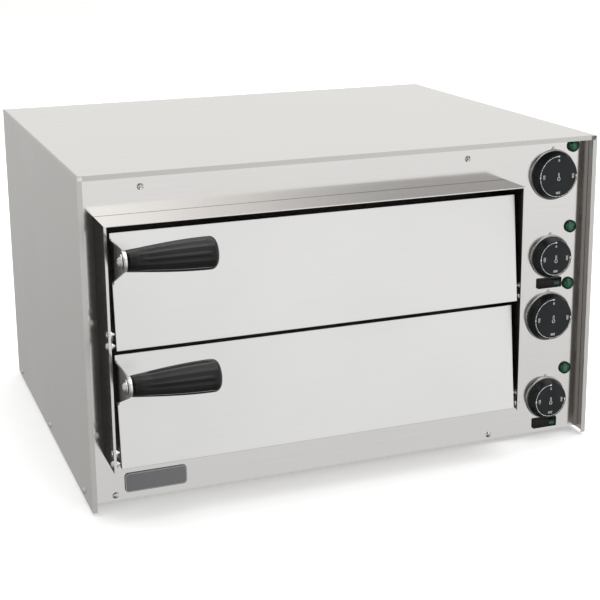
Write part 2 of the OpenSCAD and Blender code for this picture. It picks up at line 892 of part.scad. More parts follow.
// Rocker tipped to one side, turning about its own upright trunnions inside the housing
module rocker(z) {
    x = rocker_w / 2;
    color([0.05, 0.05, 0.05]) at_switch(z) translate([0, rocker_pivot, 0])
        rotate([0, 0, -rocker_tilt]) {
            linear_extrude(rocker_h, center = true)
                polygon([[-x, -7], [-4, -5.9], [4, -5.9], [x, -7], [x - 3, 3], [-x + 3, 3]]);
            translate([0, 0, -rocker_h / 2 - 0.8]) cylinder(r = trunnion_r, h = rocker_h + 1.6);
        }
}

module lower_rocker()
    rocker(SWITCHES[0]);

module upper_rocker()
    rocker(SWITCHES[1]);

// ---- Cable inlet ----

module cable_gland()
    color([0.12, 0.12, 0.12]) in_oven() translate([gland_x, casing_d, gland_z]) to_back() difference() {
        union() {
            translate([0, 0, -8]) cylinder(r = 8, h = 8.1);
            cylinder(r = 11.5, h = 6, $fn = 6);
            translate([0, 0, 5.9]) cylinder(r = 9.5, h = gland_out - 5.9 - 3);
            translate([0, 0, gland_out - 3.1]) cylinder(r = 8, h = 3.1);
        }
        translate([0, 0, -10]) cylinder(r = cable_r, h = gland_out + 20);
    }

module gland_nut()
    color([0.12, 0.12, 0.12]) in_oven() translate([gland_x, back_y - sheet - fit, gland_z]) to_front()
        difference() {
            cylinder(r = 11.5, h = 4, $fn = 6);
            translate([0, 0, -1]) cylinder(r = 8 + fit, h = 6);
        }

module terminal_block()
    color([0.90, 0.88, 0.82]) in_oven() translate([gland_x - 22, casing_d - 70, panel_bottom + sheet + fit])
        difference() {
            cube([44, 18, 14]);
            for (i = [0:3])
                translate([5.5 + i * 11, 9, 6]) cylinder(r = 2.2, h = 10);
        }

casing();
front_panel();
back_panel();
base_pan();
feet();
top_rail();
partition();
hood();
hood_rivets();
housing_screws();
badge_plate();
lower_liner();
upper_liner();
insulation();
lower_stone();
upper_stone();
stone_rails();
lower_floor_element();
lower_roof_element();
upper_floor_element();
upper_roof_element();
sensor_bulbs();
hinge_screws();
hinge_nuts();
hinge_washers();
stop_studs();
knob_bezels();
thermostats();
lamp_lenses();
lamp_bodies();
switch_housings();
cable_gland();
gland_nut();
terminal_block();
lower_door_face();
lower_door_left_end();
lower_door_right_end();
lower_door_liner();
lower_door_insulation();
lower_handle();
lower_handle_screw();
lower_handle_ferrule();
upper_door_face();
upper_door_left_end();
upper_door_right_end();
upper_door_liner();
upper_door_insulation();
upper_handle();
upper_handle_screw();
upper_handle_ferrule();
knob_1();
knob_2();
knob_3();
knob_4();
spindle_1();
spindle_2();
spindle_3();
spindle_4();
lower_rocker();
upper_rocker();
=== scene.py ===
import json
import math

import bmesh
import bpy
from mathutils import Matrix, Quaternion, Vector

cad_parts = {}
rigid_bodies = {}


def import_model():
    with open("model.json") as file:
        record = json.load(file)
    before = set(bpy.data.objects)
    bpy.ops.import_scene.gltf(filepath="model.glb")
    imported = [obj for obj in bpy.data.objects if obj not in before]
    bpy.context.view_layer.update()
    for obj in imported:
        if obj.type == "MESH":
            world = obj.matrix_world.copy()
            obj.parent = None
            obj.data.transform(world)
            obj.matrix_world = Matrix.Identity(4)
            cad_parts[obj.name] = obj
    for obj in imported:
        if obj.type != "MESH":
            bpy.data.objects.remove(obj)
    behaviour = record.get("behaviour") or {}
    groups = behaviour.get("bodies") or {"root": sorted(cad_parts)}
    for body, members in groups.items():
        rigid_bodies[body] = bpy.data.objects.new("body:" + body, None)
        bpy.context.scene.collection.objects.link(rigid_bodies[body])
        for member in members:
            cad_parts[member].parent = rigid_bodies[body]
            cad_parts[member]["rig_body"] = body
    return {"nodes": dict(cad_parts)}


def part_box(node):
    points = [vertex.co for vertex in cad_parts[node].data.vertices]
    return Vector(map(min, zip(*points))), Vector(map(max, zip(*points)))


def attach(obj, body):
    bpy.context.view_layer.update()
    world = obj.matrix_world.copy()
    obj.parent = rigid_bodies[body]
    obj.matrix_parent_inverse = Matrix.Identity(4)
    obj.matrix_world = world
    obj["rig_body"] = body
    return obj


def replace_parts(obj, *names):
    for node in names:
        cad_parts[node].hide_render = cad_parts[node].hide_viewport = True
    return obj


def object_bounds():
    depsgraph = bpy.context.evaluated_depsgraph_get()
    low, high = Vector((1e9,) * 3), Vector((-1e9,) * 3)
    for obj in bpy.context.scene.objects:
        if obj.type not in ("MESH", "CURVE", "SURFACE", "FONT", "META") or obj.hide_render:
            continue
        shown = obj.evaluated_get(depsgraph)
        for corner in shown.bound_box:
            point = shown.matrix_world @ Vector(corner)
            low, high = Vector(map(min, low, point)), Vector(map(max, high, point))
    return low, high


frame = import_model()
nodes = frame["nodes"]
cad_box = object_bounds()

MM = 0.001
SAME_POINT = 1e-6  # corners closer than this are one, in metres
WIDE_FACE = 1e-3  # square metres


# ---------- small helpers ----------

def node_mesh(node):
    """A bmesh of a CAD node, with its doubled corners joined."""
    mesh = bmesh.new()
    mesh.from_mesh(nodes[node].data)
    bmesh.ops.remove_doubles(mesh, verts=mesh.verts, dist=SAME_POINT)
    return mesh


def flat_faced_mesh(node):
    """A bmesh of a CAD node, with the triangles of each flat face joined."""
    mesh = node_mesh(node)
    bmesh.ops.dissolve_limit(mesh, angle_limit=math.radians(1), verts=mesh.verts, edges=mesh.edges)
    return mesh


def solids(node):
    """Lowest and highest corner of each separate solid of a CAD node, lowest z first."""
    mesh = node_mesh(node)
    seen, found = set(), []
    for start in mesh.verts:
        if start in seen:
            continue
        seen.add(start)
        queue, island = [start], []
        while queue:
            vert = queue.pop()
            island.append(vert.co.copy())
            for edge in vert.link_edges:
                other = edge.other_vert(vert)
                if other not in seen:
                    seen.add(other)
                    queue.append(other)
        low = Vector([min(co[i] for co in island) for i in range(3)])
        high = Vector([max(co[i] for co in island) for i in range(3)])
        found.append((low, high))
    mesh.free()
    return sorted(found, key=lambda box: (round(box[0].z, 4), box[0].x))


def middle(box):
    return (box[0] + box[1]) / 2


def add_piece(name, mesh, material, body, sharp=30.0):
    """A new piece of the object from a finished bmesh: smooth, with creases over the given angle."""
    data = bpy.data.meshes.new(name)
    bmesh.ops.recalc_face_normals(mesh, faces=mesh.faces)
    mesh.to_mesh(data)
    mesh.free()
    data.polygons.foreach_set("use_smooth", [True] * len(data.polygons))
    data.set_sharp_from_angle(angle=math.radians(sharp))
    piece = bpy.data.objects.new(name, data)
    bpy.context.scene.collection.objects.link(piece)
    data.materials.append(material)
    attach(piece, body)
    return piece


def stitch(mesh, first, second):
    """Joins two closed rings of the same number of corners by a band of faces."""
    count = len(first)
    for i in range(count):
        j = (i + 1) % count
        mesh.faces.new((first[i], first[j], second[j], second[i]))


def lathe(profile, place, segments=96, radius_at=None):
    """Revolves (radius, height) points about z; radius_at may change a point's radius by angle."""
    mesh = bmesh.new()
    rings = []
    for radius, height in profile:
        if radius == 0:
            rings.append([mesh.verts.new(place @ Vector((0, 0, height)))])
            continue
        ring = []
        for step in range(segments):
            angle = 2 * math.pi * step / segments
            r = radius_at(radius, height, angle) if radius_at else radius
            ring.append(mesh.verts.new(place @ Vector((r * math.cos(angle), r * math.sin(angle), height))))
        rings.append(ring)
    for a, b in zip(rings, rings[1:]):
        if len(a) > 1 and len(b) > 1:
            stitch(mesh, a, b)
            continue
        for i in range(segments):
            j = (i + 1) % segments
            if len(a) == 1:
                mesh.faces.new((a[0], b[j], b[i]))
            else:
                mesh.faces.new((a[i], a[j], b[0]))
    return mesh


def arc(centre, radius, start, end, steps=8):
    """Points of an arc in the (radius, height) plane, angles in degrees."""
    angles = [math.radians(start + (end - start) * i / steps) for i in range(steps + 1)]
    return [(centre[0] + radius * math.cos(a), centre[1] + radius * math.sin(a)) for a in angles]


def rounded_rectangle(half_x, half_y, corner, steps):
    """Outline of a rectangle with round corners, centred on the origin."""
    points = []
    for quarter, (sx, sy) in enumerate(((1, 1), (-1, 1), (-1, -1), (1, -1))):
        centre = (sx * (half_x - corner), sy * (half_y - corner))
        points += arc(centre, corner, 90 * quarter, 90 * quarter + 90, steps)
    return points


def facing_front(point):
    """Places a shape drawn along +z at a point so that it faces the front, its y up."""
    return Matrix.Translation(point) @ Matrix.Rotation(math.radians(90), 4, "X")


def slab(mesh, outline, thickness, place):
    """Adds a flat closed outline, drawn in x and y, as a slab of the given thickness."""
    low = [mesh.verts.new(place @ Vector((x, y, 0))) for x, y in outline]
    high = [mesh.verts.new(place @ Vector((x, y, thickness))) for x, y in outline]
    mesh.faces.new(low[::-1])
    mesh.faces.new(high)
    stitch(mesh, low, high)


def round_edges(mesh, width, over):
    """Rounds the edges that turn by more than an angle in degrees."""
    edges = [e for e in mesh.edges
             if len(e.link_faces) == 2 and e.calc_face_angle(0.0) > math.radians(over)]
    bmesh.ops.bevel(mesh, geom=edges, offset=width, offset_type="OFFSET", segments=2, profile=0.5,
                    affect="EDGES", clamp_overlap=True)


def bevelled(node, material, width, inside=None):
    """Replaces a node by the same shape with its edges slightly rounded; inside is a second material
    with the test that says which faces take it."""
    mesh = flat_faced_mesh(node)
    round_edges(mesh, width, 40)
    if inside:
        for face in mesh.faces:
            face.material_index = 1 if inside[1](face.calc_center_median(), face.normal) else 0
    piece = add_piece(f"{node}_sheet", mesh, material, nodes[node]["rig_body"], 20)
    # a wide flat face takes no slope from the rounded edges beside it
    for face in piece.data.polygons:
        if face.area > WIDE_FACE:
            face.use_smooth = False
    if inside:
        piece.data.materials.append(inside[0])
    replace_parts(piece, node)
    return piece


# ---------- materials ----------

class Shader:
    """A material's node tree, with short ways to add and join nodes."""

    def __init__(self, name):
        self.material = bpy.data.materials.new(name)
        self.material.use_nodes = True
        self.tree = self.material.node_tree
        self.principled = self.tree.nodes["Principled BSDF"]

    def node(self, kind, **settings):
        made = self.tree.nodes.new(kind)
        for name, value in settings.items():
            setattr(made, name, value)
        return made

    def join(self, source, target):
        self.tree.links.new(source, target)

    def feed(self, source, socket):
        """Joins an output to a socket of the principled shader."""
        self.join(source, self.principled.inputs[socket])

    def set(self, **sockets):
        """Sets plain values of the principled shader, with _ for each space in a socket's name."""
        for name, value in sockets.items():
            self.principled.inputs[name.replace("_", " ")].default_value = value

    def coordinates(self, scale):
        texture = self.node("ShaderNodeTexCoord")
        mapping = self.node("ShaderNodeMapping")
        mapping.inputs["Scale"].default_value = scale
        self.join(texture.outputs["Object"], mapping.inputs["Vector"])
        return mapping.outputs["Vector"]

    def noise(self, scale, detail=4.0, roughness=0.55):
        """Noise stretched by a scale for each axis, in cycles a metre."""
        made = self.node("ShaderNodeTexNoise")
        made.inputs["Scale"].default_value = 1.0
        made.inputs["Detail"].default_value = detail
        made.inputs["Roughness"].default_value = roughness
        self.join(self.coordinates(scale), made.inputs["Vector"])
        return made.outputs["Fac"]

    def spread(self, source, low, high, from_low=0.3, from_high=0.7):
        """Maps a noise onto a range of values."""
        made = self.node("ShaderNodeMapRange")
        made.inputs["From Min"].default_value = from_low
        made.inputs["From Max"].default_value = from_high
        made.inputs["To Min"].default_value = low
        made.inputs["To Max"].default_value = high
        self.join(source, made.inputs["Value"])
        return made.outputs["Result"]

    def blend(self, factor, first, second):
        """Colour that goes from the first to the second as the factor goes from 0 to 1."""
        made = self.node("ShaderNodeMix", data_type="RGBA")
        for socket, colour in (("A", first), ("B", second)):
            target = [s for s in made.inputs if s.name == socket and s.type == "RGBA"][0]
            if isinstance(colour, bpy.types.NodeSocket):
                self.join(colour, target)
            else:
                target.default_value = (*colour, 1.0)
        self.join(factor, made.inputs["Factor"])
        return [s for s in made.outputs if s.type == "RGBA"][0]

    def bump(self, height, strength, distance, normal=None):
        made = self.node("ShaderNodeBump")
        made.inputs["Strength"].default_value = strength
        made.inputs["Distance"].default_value = distance
        self.join(height, made.inputs["Height"])
        if normal:
            self.join(normal, made.inputs["Normal"])
        return made.outputs["Normal"]


def steel(name, tone, roughness, grain_axis, grain=1.0, smudge=0.05, warp=0.0, seam=None):
    """Brushed or rolled sheet: fine lines along one axis, faint smudges, a slight waviness, and
    a painted shade line along a seam that runs at a given depth."""
    shader = Shader(name)
    shader.set(Metallic=1.0)
    across, along = 1400.0, 9.0  # grain lines in a metre
    lines = shader.noise(tuple(along if axis == grain_axis else across for axis in "xyz"), 5.0, 0.6)
    clouds = shader.noise((9.0, 9.0, 9.0), 3.0, 0.5)
    dark = tuple(c * (1 - 0.07 * grain) for c in tone)
    light = tuple(min(1.0, c * (1 + 0.04 * grain)) for c in tone)
    colour = shader.blend(shader.spread(lines, 0.0, 1.0), dark, light)
    smudged = shader.blend(shader.spread(clouds, 0.0, 2.5 * smudge), colour, tuple(c * 0.85 for c in tone))
    # painted shade: near-black over the last millimetre or so in front of the seam, standing in for the
    # shadow in the joint
    if seam:
        texture = shader.node("ShaderNodeTexCoord")
        parts = shader.node("ShaderNodeSeparateXYZ")
        shader.join(texture.outputs["Object"], parts.inputs["Vector"])
        seam_painted_shade = shader.spread(parts.outputs["Y"], 0.0, 1.0, seam - 1.6 * MM, seam - 0.6 * MM)
        smudged = shader.blend(seam_painted_shade, smudged, tuple(c * 0.16 for c in tone))
    shader.feed(smudged, "Base Color")
    rough = shader.node("ShaderNodeMath", operation="ADD")
    shader.join(shader.spread(lines, roughness - 0.05 * grain, roughness + 0.05 * grain), rough.inputs[0])
    shader.join(shader.spread(clouds, -smudge, smudge), rough.inputs[1])
    shader.feed(rough.outputs["Value"], "Roughness")
    normal = shader.bump(lines, 0.07 * grain, 0.00005)
    if warp:
        normal = shader.bump(shader.noise((3.2, 3.2, 3.2), 1.0, 0.3), warp, 0.004, normal)
    shader.feed(normal, "Normal")
    return shader.material


def plated(name, tone, roughness):
    """Bright plated hardware with faint turning marks and tarnish."""
    shader = Shader(name)
    shader.set(Metallic=1.0)
    fine = shader.noise((900.0, 900.0, 900.0), 3.0)
    patches = shader.noise((120.0, 120.0, 120.0), 2.0)
    colour = shader.blend(shader.spread(patches, 0.0, 1.0), tone, tuple(c * 0.82 for c in tone))
    shader.feed(colour, "Base Color")
    shader.feed(shader.spread(fine, roughness - 0.05, roughness + 0.08), "Roughness")
    shader.feed(shader.bump(fine, 0.08, 0.00004), "Normal")
    return shader.material


def moulded(name, dark, light, roughness, texture=500.0, depth=0.05, coat=0.0, wear=0.06, gloss=0.5):
    """Moulded plastic or rubber: fine skin texture, a little mottling, uneven gloss."""
    shader = Shader(name)
    skin = shader.noise((texture, texture, texture), 3.0)
    mottle = shader.noise((70.0, 70.0, 70.0), 3.0)
    shader.feed(shader.blend(shader.spread(mottle, 0.0, 1.0), dark, light), "Base Color")
    shader.feed(shader.spread(mottle, roughness - wear, roughness + wear), "Roughness")
    shader.feed(shader.bump(skin, depth, 0.0001), "Normal")
    shader.set(Coat_Weight=coat, Coat_Roughness=0.08, Specular_IOR_Level=gloss)
    return shader.material


def refractory():
    """Pale baking stone: open pores, coarse grains and browned patches."""
    shader = Shader("refractory_stone")
    grains = shader.noise((420.0, 420.0, 420.0), 6.0, 0.7)
    patches = shader.noise((14.0, 14.0, 14.0), 4.0)
    pores = shader.node("ShaderNodeTexVoronoi")
    pores.inputs["Scale"].default_value = 260.0
    shader.join(shader.coordinates((1.0, 1.0, 1.0)), pores.inputs["Vector"])
    base = shader.blend(shader.spread(grains, 0.0, 1.0), (0.50, 0.42, 0.31), (0.76, 0.69, 0.56))
    browned = shader.blend(shader.spread(patches, 0.0, 0.5), base, (0.36, 0.25, 0.15))
    shader.feed(browned, "Base Color")
    shader.set(Roughness=0.92)
    pitted = shader.bump(pores.outputs["Distance"], 0.35, 0.0006)
    shader.feed(shader.bump(grains, 0.4, 0.0005, pitted), "Normal")
    return shader.material


def blanket():
    """Fibrous insulation wool."""
    shader = Shader("wool")
    fibres = shader.noise((700.0, 90.0, 400.0), 6.0, 0.7)
    lumps = shader.noise((35.0, 35.0, 35.0), 3.0)
    colour = shader.blend(shader.spread(fibres, 0.0, 1.0), (0.66, 0.63, 0.55), (0.86, 0.85, 0.80))
    shader.feed(colour, "Base Color")
    shader.set(Roughness=0.95)
    soft = shader.bump(lumps, 0.5, 0.003)
    shader.feed(shader.bump(fibres, 0.5, 0.0008, soft), "Normal")
    return shader.material


def spangled():
    """Aluminised liner sheet: faint crystalline patches, warmed by heat."""
    shader = Shader("liner_sheet")
    shader.set(Metallic=1.0)
    crystals = shader.node("ShaderNodeTexVoronoi")
    crystals.inputs["Scale"].default_value = 90.0
    shader.join(shader.coordinates((1.0, 1.0, 1.0)), crystals.inputs["Vector"])
    heat = shader.noise((7.0, 7.0, 7.0), 3.0)
    grey = shader.blend(shader.spread(crystals.outputs["Distance"], 0.0, 1.0, 0.0, 0.8), (0.50, 0.50, 0.48),
                        (0.60, 0.59, 0.57))
    warmed = shader.blend(shader.spread(heat, 0.0, 0.5), grey, (0.46, 0.38, 0.27))
    shader.feed(warmed, "Base Color")
    shader.feed(shader.spread(heat, 0.30, 0.46), "Roughness")
    shader.feed(shader.bump(crystals.outputs["Distance"], 0.04, 0.0002), "Normal")
    return shader.material


def lens():
    """Dark translucent green moulding of the pilot lamps and rocker windows."""
    shader = Shader("green_lens")
    depth = shader.noise((260.0, 260.0, 260.0), 2.0)
    colour = shader.blend(shader.spread(depth, 0.0, 1.0), (0.002, 0.050, 0.022), (0.006, 0.150, 0.070))
    shader.feed(colour, "Base Color")
    shader.feed(shader.spread(depth, 0.08, 0.16), "Roughness")
    shader.set(Transmission_Weight=0.25, IOR=1.49, Coat_Weight=0.6, Coat_Roughness=0.05)
    return shader.material


CASING = steel("casing_steel", (0.645, 0.632, 0.612), 0.27, "z", grain=0.3, smudge=0.012, warp=0.03)
PANEL = steel("panel_steel", (0.80, 0.785, 0.775), 0.13, "x", grain=0.4, smudge=0.02, warp=0.05)
DOOR = steel("door_steel", (0.86, 0.86, 0.86), 0.30, "x", grain=0.3, smudge=0.015)
# the hood's rear edge gets a painted shade line where it meets the front panel
HOOD = steel("hood_steel", (0.80, 0.785, 0.765), 0.15, "x", grain=0.15, smudge=0.02,
             seam=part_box("hood")[1].y)
CASING_INSIDE = steel("casing_inside", (0.50, 0.48, 0.455), 0.20, "z", grain=1.0, smudge=0.05, warp=0.25)
# near-black painted shade on the door faces' folds and backs, so that the gap between the doors reads dark
DOOR_FOLD_PAINTED_SHADE = steel("door_fold_painted_shade", (0.035, 0.033, 0.032), 0.45, "x", grain=0.5)
# darker painted shade for the hood's inner faces, standing in for the shade under and inside the hood
HOOD_INSIDE_PAINTED_SHADE = steel("hood_inside_painted_shade", (0.34, 0.32, 0.30), 0.42, "x", grain=0.3)
PLATE = steel("plate_steel", (0.50, 0.49, 0.48), 0.30, "z", grain=1.0)
BADGE = steel("badge_metal", (0.25, 0.25, 0.26), 0.38, "x", grain=1.2)
BADGE_RIM = steel("badge_rim", (0.62, 0.62, 0.62), 0.30, "x", grain=0.6)
BRIGHT = plated("bright_hardware", (0.80, 0.80, 0.79), 0.16)
BEZEL = plated("bezel_chrome", (0.62, 0.60, 0.57), 0.24)
DULL = plated("dull_rivets", (0.20, 0.19, 0.18), 0.38)
SHEATH = plated("element_sheath", (0.16, 0.13, 0.115), 0.45)
COPPER = plated("bulb_copper", (0.66, 0.40, 0.25), 0.28)
LINER = spangled()
BAKELITE = moulded("bakelite", (0.003,) * 3, (0.006,) * 3, 0.20, 300.0, 0.03, gloss=0.32)
KNOB = moulded("knob_plastic", (0.006, 0.008, 0.009), (0.010, 0.014, 0.016), 0.33, 900.0, 0.05,
               gloss=0.28)
SWITCH = moulded("switch_plastic", (0.004,) * 3, (0.008,) * 3, 0.26, 700.0, 0.04, gloss=0.25)
NYLON = moulded("gland_nylon", (0.018, 0.018, 0.019), (0.032, 0.032, 0.033), 0.46, 500.0, 0.08)
RUBBER = moulded("foot_rubber", (0.012, 0.012, 0.012), (0.028, 0.027, 0.026), 0.72, 400.0, 0.25)
CREAM = moulded("switchgear_case", (0.60, 0.56, 0.48), (0.72, 0.69, 0.62), 0.48, 300.0, 0.06)
PRINT = moulded("dial_print", (0.62, 0.62, 0.62), (0.80, 0.80, 0.80), 0.55, 1500.0, 0.05)
STONE = refractory()
WOOL = blanket()
GREEN = lens()

FINISHES = {
    "back_panel": CASING, "base_pan": CASING, "feet": RUBBER, "top_rail": PLATE,
    "partition": LINER, "hood_rivets": DULL, "housing_screws": BRIGHT,
    "lower_liner": LINER, "upper_liner": LINER, "insulation": WOOL,
    "lower_stone": STONE, "upper_stone": STONE,
    "stone_rails": LINER, "lower_floor_element": SHEATH, "lower_roof_element": SHEATH,
    "upper_floor_element": SHEATH, "upper_roof_element": SHEATH, "sensor_bulbs": COPPER,
    "hinge_screws": BRIGHT, "hinge_nuts": BRIGHT, "hinge_washers": BRIGHT, "stop_studs": BRIGHT,
    "thermostats": CREAM, "lamp_bodies": SWITCH, "cable_gland": NYLON, "gland_nut": NYLON,
    "terminal_block": CREAM,
}
for deck in ("lower", "upper"):
    FINISHES[f"{deck}_door_right_end"] = PLATE
    FINISHES[f"{deck}_door_liner"] = LINER
    FINISHES[f"{deck}_door_insulation"] = WOOL
    FINISHES[f"{deck}_handle_screw"] = BRIGHT
    FINISHES[f"{deck}_handle_ferrule"] = BRIGHT
for number in range(1, 5):
    FINISHES[f"spindle_{number}"] = BRIGHT

for node, finish in FINISHES.items():
    data = nodes[node].data
    data.materials.clear()
    data.materials.append(finish)


# ---------- sheet metal with eased edges ----------

def inside_casing(centre, normal):
    """Inner faces of the side walls."""
    return abs(normal.x) > 0.9 and normal.x * centre.x < 0 and abs(centre.x) > 0.2


def behind_door(centre, normal):
    """All of a door's face but its front; these faces take a near-black painted shade."""
    return normal.y > -0.5


bevelled("casing", CASING, 0.3 * MM, (CASING_INSIDE, inside_casing))
bevelled("front_panel", PANEL, 0.2 * MM)
hood_low, hood_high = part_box("hood")
hood_middle = (hood_low + hood_high) / 2


def inside_hood(centre, normal):
    """Faces that look down, towards the middle, or forward from behind the hood's front edge; these take a
    darker painted shade.
    """
    facing_in = abs(normal.x) > 0.9 and normal.x * (hood_middle.x - centre.x) > 0
    back = normal.y < -0.9 and centre.y > hood_low.y + 3 * MM
    return normal.z < -0.9 or facing_in or back


# the hood's inner faces take the darker painted shade
bevelled("hood", HOOD, 0.3 * MM, (HOOD_INSIDE_PAINTED_SHADE, inside_hood))
bevelled("badge_plate", BADGE, 0.35 * MM)
# each door face's folds and back take the near-black painted shade
for deck in ("lower", "upper"):
    bevelled(f"{deck}_door_face", DOOR, 0.35 * MM, (DOOR_FOLD_PAINTED_SHADE, behind_door))
    bevelled(f"{deck}_door_left_end", PLATE, 0.3 * MM)


def make_badge_rim():
    """Raised bright edge round the blank badge plate."""
    low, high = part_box("badge_plate")
    place = facing_front(Vector(((low.x + high.x) / 2, low.y + 0.15 * MM, (low.z + high.z) / 2)))
    mesh = bmesh.new()
    rings = []
    for inset, rise in ((0.5, 0.0), (0.7, 0.3), (1.1, 0.3), (1.3, 0.0)):
        half_x = (high.x - low.x) / 2 - inset * MM
        half_z = (high.z - low.z) / 2 - inset * MM
        corner = (4.0 - inset) * MM
        outline = rounded_rectangle(half_x, half_z, corner, 8)
        rings.append([mesh.verts.new(place @ Vector((x, y, rise * MM))) for x, y in outline])
    for a, b in zip(rings, rings[1:] + rings[:1]):
        stitch(mesh, a, b)
    add_piece("badge_rim", mesh, BADGE_RIM, "root", 40)


make_badge_rim()


# ---------- handles ----------

FLUTES = 14
FLUTE_DEPTH = 0.9 * MM


def make_handle(deck):
    """Swelling fluted handle with a plain neck and a blunt rounded end."""
    low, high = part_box(f"{deck}_handle")
    length = high.x - low.x
    widest = (high.z - low.z) / 2
    neck = 0.63 * widest
    end_round = 0.42 * widest
    plain = 0.10 * length

    def body_radius(height):
        t = min(1.0, height / (length - end_round))
        return neck + (widest - neck) * (1.5 * t - 0.5 * t ** 3)

    def fluted(radius, height, angle):
        start = min(1.0, max(0.0, (height - plain) / (0.12 * length)))
        finish = min(1.0, max(0.0, (length - 0.5 * end_round - height) / (0.10 * length)))
        wave = 0.5 - 0.5 * math.cos(FLUTES * angle)
        return radius - FLUTE_DEPTH * wave ** 0.7 * start * finish * radius / widest

    steps = 60
    bore, bore_depth = 2.65 * MM, 30 * MM
    ease = 1.0 * MM
    profile = [(bore, bore_depth), (bore, 0.0), (neck - ease, 0.0)]
    profile += arc((neck - ease, ease), ease, -60, 0, 4)
    run = length - end_round - 1.6 * MM
    profile += [(body_radius(h), h) for h in (1.6 * MM + run * i / steps for i in range(steps + 1))]
    profile += arc((widest - end_round, length - end_round), end_round, 8, 82, 12)
    profile += [((widest - end_round) * 0.6, length), (0, length)]
    place = Matrix.Translation((low.x, (low.y + high.y) / 2, (low.z + high.z) / 2))
    place = place @ Matrix.Rotation(math.radians(90), 4, "Y")
    mesh = lathe([(0, bore_depth)] + profile, place, 14 * FLUTES, fluted)
    piece = add_piece(f"{deck}_grip", mesh, BAKELITE, f"{deck}_door", 50)
    piece.visible_glossy = False
    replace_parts(piece, f"{deck}_handle")


for deck in ("lower", "upper"):
    make_handle(deck)


# ---------- knobs and their dials ----------

PRINT_T = 0.12 * MM
LARGE_SKIRT = 24 * MM


def number_outline(mesh, text, height, place):
    """Adds a number as thin raised print, centred on the place's origin."""
    curve = bpy.data.curves.new("number", "FONT")
    curve.body = text
    curve.size = height
    curve.align_x = "CENTER"
    curve.align_y = "CENTER"
    curve.extrude = PRINT_T / 2
    curve.resolution_u = 3
    shape = bpy.data.objects.new("number", curve)
    bpy.context.scene.collection.objects.link(shape)
    bpy.context.view_layer.update()
    data = bpy.data.meshes.new_from_object(shape.evaluated_get(bpy.context.evaluated_depsgraph_get()))
    data.transform(place @ Matrix.Translation((0, 0, PRINT_T / 2)))
    mesh.from_mesh(data)
    bpy.data.objects.remove(shape)
    bpy.data.curves.remove(curve)
    bpy.data.meshes.remove(data)


def ring_piece(mesh, radius, width, start, end, place, steps):
    """Adds a flat stretch of ring between two angles, counter-clockwise from the right."""
    outer = [(radius + width / 2, start + (end - start) * i / steps) for i in range(steps + 1)]
    inner = [(radius - width / 2, start + (end - start) * i / steps) for i in range(steps, -1, -1)]
    outline = [(r * math.cos(math.radians(a)), r * math.sin(math.radians(a))) for r, a in outer + inner]
    slab(mesh, outline, PRINT_T, place)


def make_dial(number, centre, radius, fall):
    """White scale on a face that falls away from its middle: dashes, numbers and a thermometer."""
    mesh = bmesh.new()
    place = facing_front(centre)
    dashes = 34
    for i in range(dashes):
        start = 92 + 268 * i / dashes
        ring_piece(mesh, radius, 0.55 * MM, start, start + (5.0 if i % 3 else 7.0), place, 4)
    for angle in (90, 180, 360):
        dot = place @ Matrix.Rotation(math.radians(angle), 4, "Z") @ Matrix.Translation((radius, 0, 0))
        ring_piece(mesh, 0.45 * MM, 0.88 * MM, 0, 340, dot, 14)
    for i, text in enumerate(("0", "100", "200", "300")):
        turn = Matrix.Rotation(math.radians(90 * i), 4, "Z")
        shift = Matrix.Translation((0, radius - 4.3 * MM, 0))
        number_outline(mesh, text, 3.6 * MM, place @ turn @ shift)
    bulb = place @ Matrix.Translation((0, -2.4 * MM, 0))
    ring_piece(mesh, 1.6 * MM, 0.45 * MM, 112, 428, bulb, 20)
    for x in (-0.62 * MM, 0.62 * MM):
        low, high = 1.4 * MM, 5.6 * MM
        half = 0.16 * MM
        stem = [(x - half, low), (x + half, low), (x + half, high), (x - half, high)]
        slab(mesh, stem, PRINT_T, bulb)
    ring_piece(mesh, 0.62 * MM, 0.32 * MM, 0, 180, bulb @ Matrix.Translation((0, 5.6 * MM, 0)), 10)
    for vert in mesh.verts:
        vert.co.y += fall * ((vert.co.x - centre.x) ** 2 + (vert.co.z - centre.z) ** 2)
    add_piece(f"knob_{number}_dial", mesh, PRINT, f"knob_{number}", 60)


def make_knob(number):
    """Round knob: a thin skirt in its ring, a coned side and a slightly crowned face with an eased edge."""
    low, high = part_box(f"knob_{number}")
    skirt = (high.x - low.x) / 2
    depth = high.y - low.y
    large = skirt > LARGE_SKIRT
    face = skirt - (2.5 if large else 2.6) * MM
    ease = (2.2 if large else 1.2) * MM
    back = Vector(((low.x + high.x) / 2, high.y, (low.z + high.z) / 2))
    crown = 0.7 * MM
    rim = depth - crown
    bore, bore_end, hollow = 3.1 * MM, depth - 4 * MM, 0.6 * MM
    profile = [(bore, bore_end), (bore, hollow), (0.5 * skirt, hollow), (0.88 * skirt, hollow)]
    profile += [(0.90 * skirt, 0.0)]
    profile += arc((skirt - 0.6 * MM, 0.6 * MM), 0.6 * MM, -80, 0, 4)
    profile += arc((skirt - 0.5 * MM, 1.5 * MM), 0.5 * MM, 0, 60, 4)
    start, finish = profile[-1], (face, rim - ease)
    for i in range(1, 9):
        t = i / 8
        profile.append((start[0] + (finish[0] - start[0]) * t, start[1] + (finish[1] - start[1]) * t))
    profile += arc((face - ease, rim - ease), ease, 6, 84, 10)
    edge = face - ease
    profile += [(edge * (1 - i / 8), rim + crown * (1 - (1 - i / 8) ** 2)) for i in range(1, 8)]
    mesh = lathe([(0, bore_end)] + profile + [(0, depth)], facing_front(back), 128)
    piece = add_piece(f"knob_{number}_moulding", mesh, KNOB, f"knob_{number}", 40)
    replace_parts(piece, f"knob_{number}")
    make_dial(number, Vector((back.x, low.y, back.z)), face - 1.9 * MM, crown / edge ** 2)


for number in range(1, 5):
    make_knob(number)


# ---------- rings round the knobs ----------

